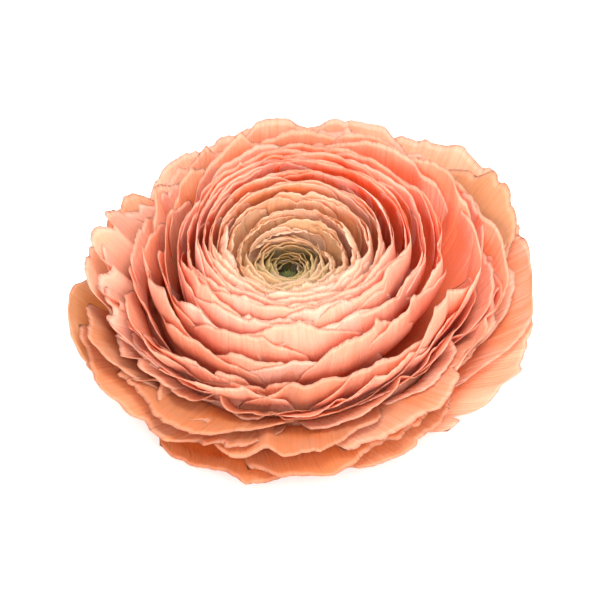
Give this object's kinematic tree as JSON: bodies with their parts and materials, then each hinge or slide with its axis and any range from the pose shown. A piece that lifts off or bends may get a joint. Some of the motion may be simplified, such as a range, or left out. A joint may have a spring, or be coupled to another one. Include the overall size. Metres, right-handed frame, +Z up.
{
  "type": "ranunculus flower",
  "caption": "Fully double ranunculus bloom lying face up, its broad petals nested in a cup round a small green heart, with sepals and a short cut stem underneath.",
  "frame": {"origin": "middle of the underside of the bloom's bounding box, on the surface that it lies on", "axes": "+Z up along the bloom's axis, from the cut stem to the heart; -Y towards the side that droops furthest"},
  "size_m": [0.0862, 0.079, 0.031],
  "materials": {
    "guard_petal": "soft matt petal, orange to tan, translucent",
    "petal": "soft matt petal, peach to salmon, translucent",
    "heart": "matt, cream turning to olive green",
    "green_stem": "matt, finely hairy green"
  },
  "bodies": {
    "root": {"stem_and_receptacle": "green_stem", "carpel_cluster": "heart", "heart_petals": "heart", "sepal_1": "green_stem", "sepal_2": "green_stem", "sepal_3": "green_stem", "sepal_4": "green_stem", "sepal_5": "green_stem", "guard_petal_01": "guard_petal", "guard_petal_02": "guard_petal", "guard_petal_03": "guard_petal", "guard_petal_04": "guard_petal", "guard_petal_05": "guard_petal", "guard_petal_06": "guard_petal", "guard_petal_07": "guard_petal", "guard_petal_08": "guard_petal", "guard_petal_09": "guard_petal", "guard_petal_10": "guard_petal", "guard_petal_11": "guard_petal", "guard_petal_12": "guard_petal", "guard_petal_13": "guard_petal", "guard_petal_14": "guard_petal", "guard_petal_15": "guard_petal", "petal_01": "petal", "petal_02": "petal", "petal_03": "petal", "petal_04": "petal", "petal_05": "petal", "petal_06": "petal", "petal_07": "petal", "petal_08": "petal", "petal_09": "petal", "petal_10": "petal", "petal_11": "petal", "petal_12": "petal", "petal_13": "petal", "petal_14": "petal", "petal_15": "petal", "petal_16": "petal", "petal_17": "petal", "petal_18": "petal", "petal_19": "petal", "petal_20": "petal", "petal_21": "petal", "petal_22": "petal", "petal_23": "petal", "petal_24": "petal", "petal_25": "petal", "petal_26": "petal", "petal_27": "petal", "petal_28": "petal", "petal_29": "petal", "petal_30": "petal", "petal_31": "petal", "petal_32": "petal", "petal_33": "petal", "petal_34": "petal", "petal_35": "petal", "petal_36": "petal", "petal_37": "petal"}
  },
  "joints": []
}
